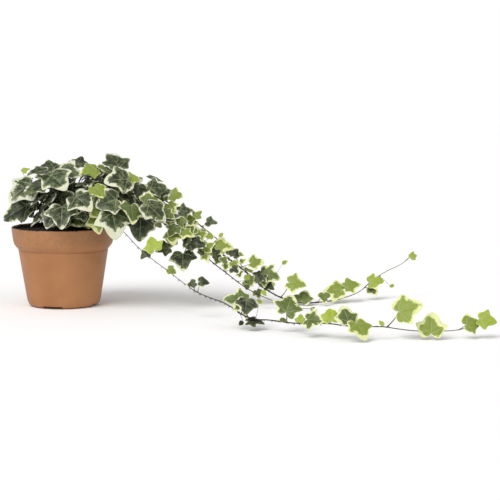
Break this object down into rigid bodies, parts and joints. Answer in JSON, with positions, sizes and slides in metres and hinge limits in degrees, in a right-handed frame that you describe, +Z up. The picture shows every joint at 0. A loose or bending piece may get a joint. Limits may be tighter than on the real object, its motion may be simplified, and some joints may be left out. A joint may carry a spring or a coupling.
{
  "type": "potted ivy",
  "caption": "Variegated trailing ivy in a round plastic nursery pot with a stepped collar: a leafy crown, and long stems that run out along the surface to one side.",
  "frame": {"origin": "centre of the pot's flat underside, on the surface that it stands on", "axes": "+Z up along the pot's axis; +X the way the long stems trail; -Y the front, towards the viewer"},
  "size_m": [0.5369, 0.338, 0.1779],
  "materials": {
    "pot_plastic": "satin, moulded, terracotta coloured",
    "compost": "matte, dark and crumbly",
    "foliage": "satin leaf, green with cream margins"
  },
  "bodies": {
    "root": {"pot": "pot_plastic", "soil": "compost", "trail_lower": "foliage", "trail_upper": "foliage", "trail_middle": "foliage", "trail_back": "foliage", "shoot_front": "foliage", "shoot_front_right": "foliage", "shoot_front_low_right": "foliage", "shoot_front_left": "foliage", "shoot_left_low": "foliage", "shoot_left": "foliage", "shoot_left_top": "foliage", "shoot_centre_left": "foliage", "shoot_centre": "foliage", "shoot_centre_right": "foliage", "shoot_top_right": "foliage", "shoot_right_front": "foliage", "shoot_right_low": "foliage", "shoot_right_out": "foliage", "shoot_right": "foliage", "shoot_back_right": "foliage", "shoot_back": "foliage", "shoot_back_top": "foliage", "shoot_back_left": "foliage", "shoot_left_back": "foliage", "shoot_left_rear_top": "foliage"}
  },
  "joints": []
}
